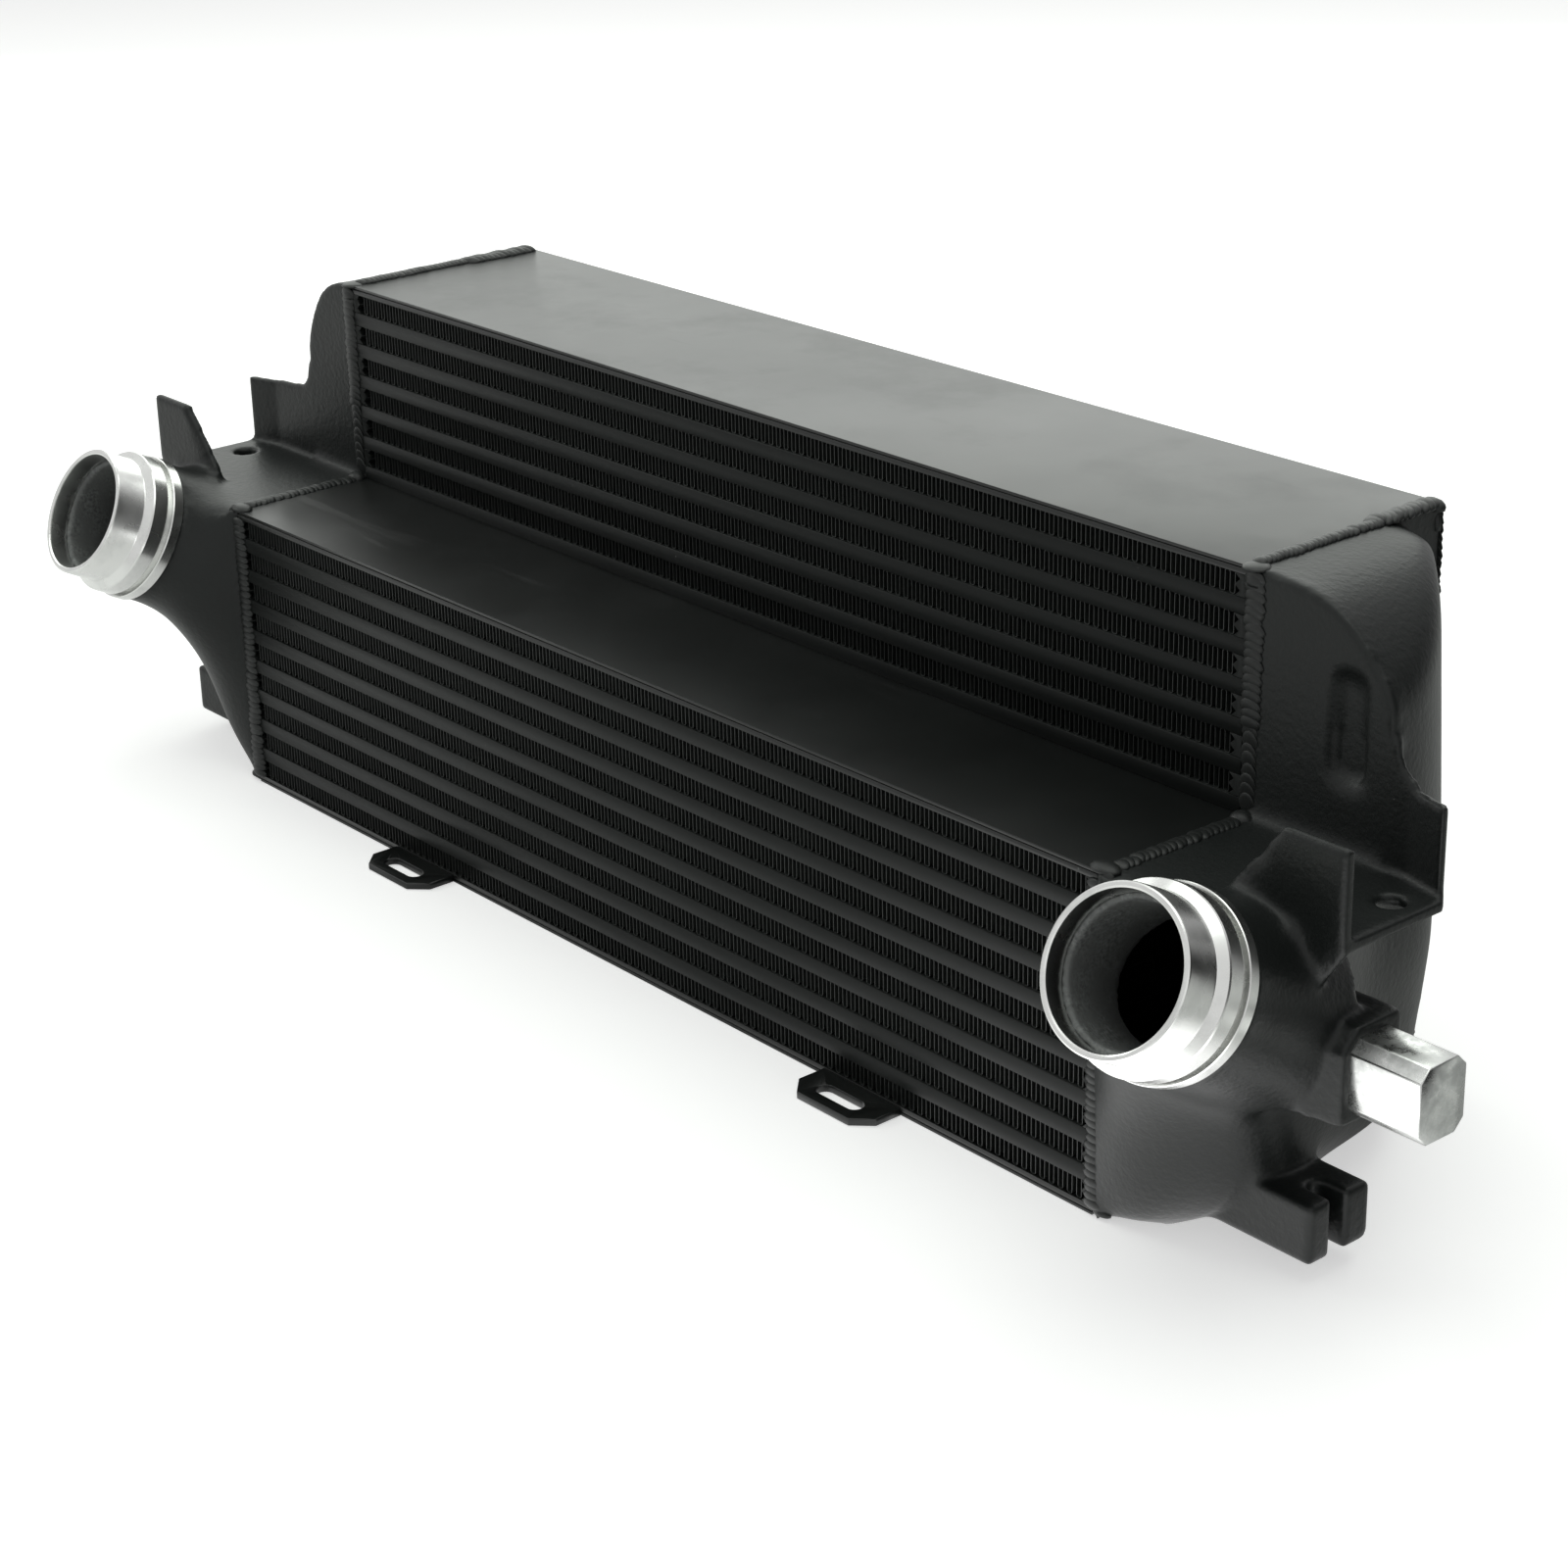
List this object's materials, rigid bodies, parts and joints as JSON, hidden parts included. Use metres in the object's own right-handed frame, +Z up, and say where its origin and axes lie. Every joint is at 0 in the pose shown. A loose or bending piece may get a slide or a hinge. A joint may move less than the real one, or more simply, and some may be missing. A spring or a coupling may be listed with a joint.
{
  "type": "intercooler",
  "caption": "Stepped bar-and-plate air-to-air intercooler: folded-fin core with a lower and a set-back upper block, cast end tanks with brackets, and machined hose spouts angled up and forward",
  "frame": {"origin": "middle of the flat underside of the core's bottom plate", "axes": "+X along the tubes to the right-hand tank, +Y to the back, away from the spouts, +Z up"},
  "size_m": [0.76, 0.2251, 0.2165],
  "materials": {
    "coated_sheet": "satin black powder coat on aluminium sheet and bar",
    "coated_fins": "matte black coat on thin folded aluminium strip",
    "coated_casting": "satin black powder coat over an as-cast aluminium skin",
    "coated_weld": "satin black powder coat over a rippled weld",
    "machined_aluminium": "bare turned or sawn aluminium, bright with fine tool marks"
  },
  "bodies": {
    "root": {"bottom_plate": "coated_sheet", "step_plate": "coated_sheet", "top_plate": "coated_sheet", "lower_tube_1": "coated_sheet", "lower_tube_2": "coated_sheet", "lower_tube_3": "coated_sheet", "lower_tube_4": "coated_sheet", "lower_tube_5": "coated_sheet", "lower_tube_6": "coated_sheet", "lower_tube_7": "coated_sheet", "lower_tube_8": "coated_sheet", "upper_tube_1": "coated_sheet", "upper_tube_2": "coated_sheet", "upper_tube_3": "coated_sheet", "upper_tube_4": "coated_sheet", "upper_tube_5": "coated_sheet", "upper_tube_6": "coated_sheet", "lower_fin_1": "coated_fins", "lower_fin_2": "coated_fins", "lower_fin_3": "coated_fins", "lower_fin_4": "coated_fins", "lower_fin_5": "coated_fins", "lower_fin_6": "coated_fins", "lower_fin_7": "coated_fins", "lower_fin_8": "coated_fins", "lower_fin_9": "coated_fins", "upper_fin_1": "coated_fins", "upper_fin_2": "coated_fins", "upper_fin_3": "coated_fins", "upper_fin_4": "coated_fins", "upper_fin_5": "coated_fins", "upper_fin_6": "coated_fins", "lower_end_bars_1": "coated_sheet", "lower_end_bars_2": "coated_sheet", "lower_end_bars_3": "coated_sheet", "lower_end_bars_4": "coated_sheet", "lower_end_bars_5": "coated_sheet", "lower_end_bars_6": "coated_sheet", "lower_end_bars_7": "coated_sheet", "lower_end_bars_8": "coated_sheet", "lower_end_bars_9": "coated_sheet", "upper_end_bars_1": "coated_sheet", "upper_end_bars_2": "coated_sheet", "upper_end_bars_3": "coated_sheet", "upper_end_bars_4": "coated_sheet", "upper_end_bars_5": "coated_sheet", "upper_end_bars_6": "coated_sheet", "right_end_tank": "coated_casting", "right_weld_bead": "coated_weld", "right_spout": "machined_aluminium", "right_mounting_peg": "machined_aluminium", "right_front_tab": "coated_sheet", "left_end_tank": "coated_casting", "left_weld_bead": "coated_weld", "left_spout": "machined_aluminium", "left_mounting_peg": "machined_aluminium", "left_front_tab": "coated_sheet"}
  },
  "joints": []
}
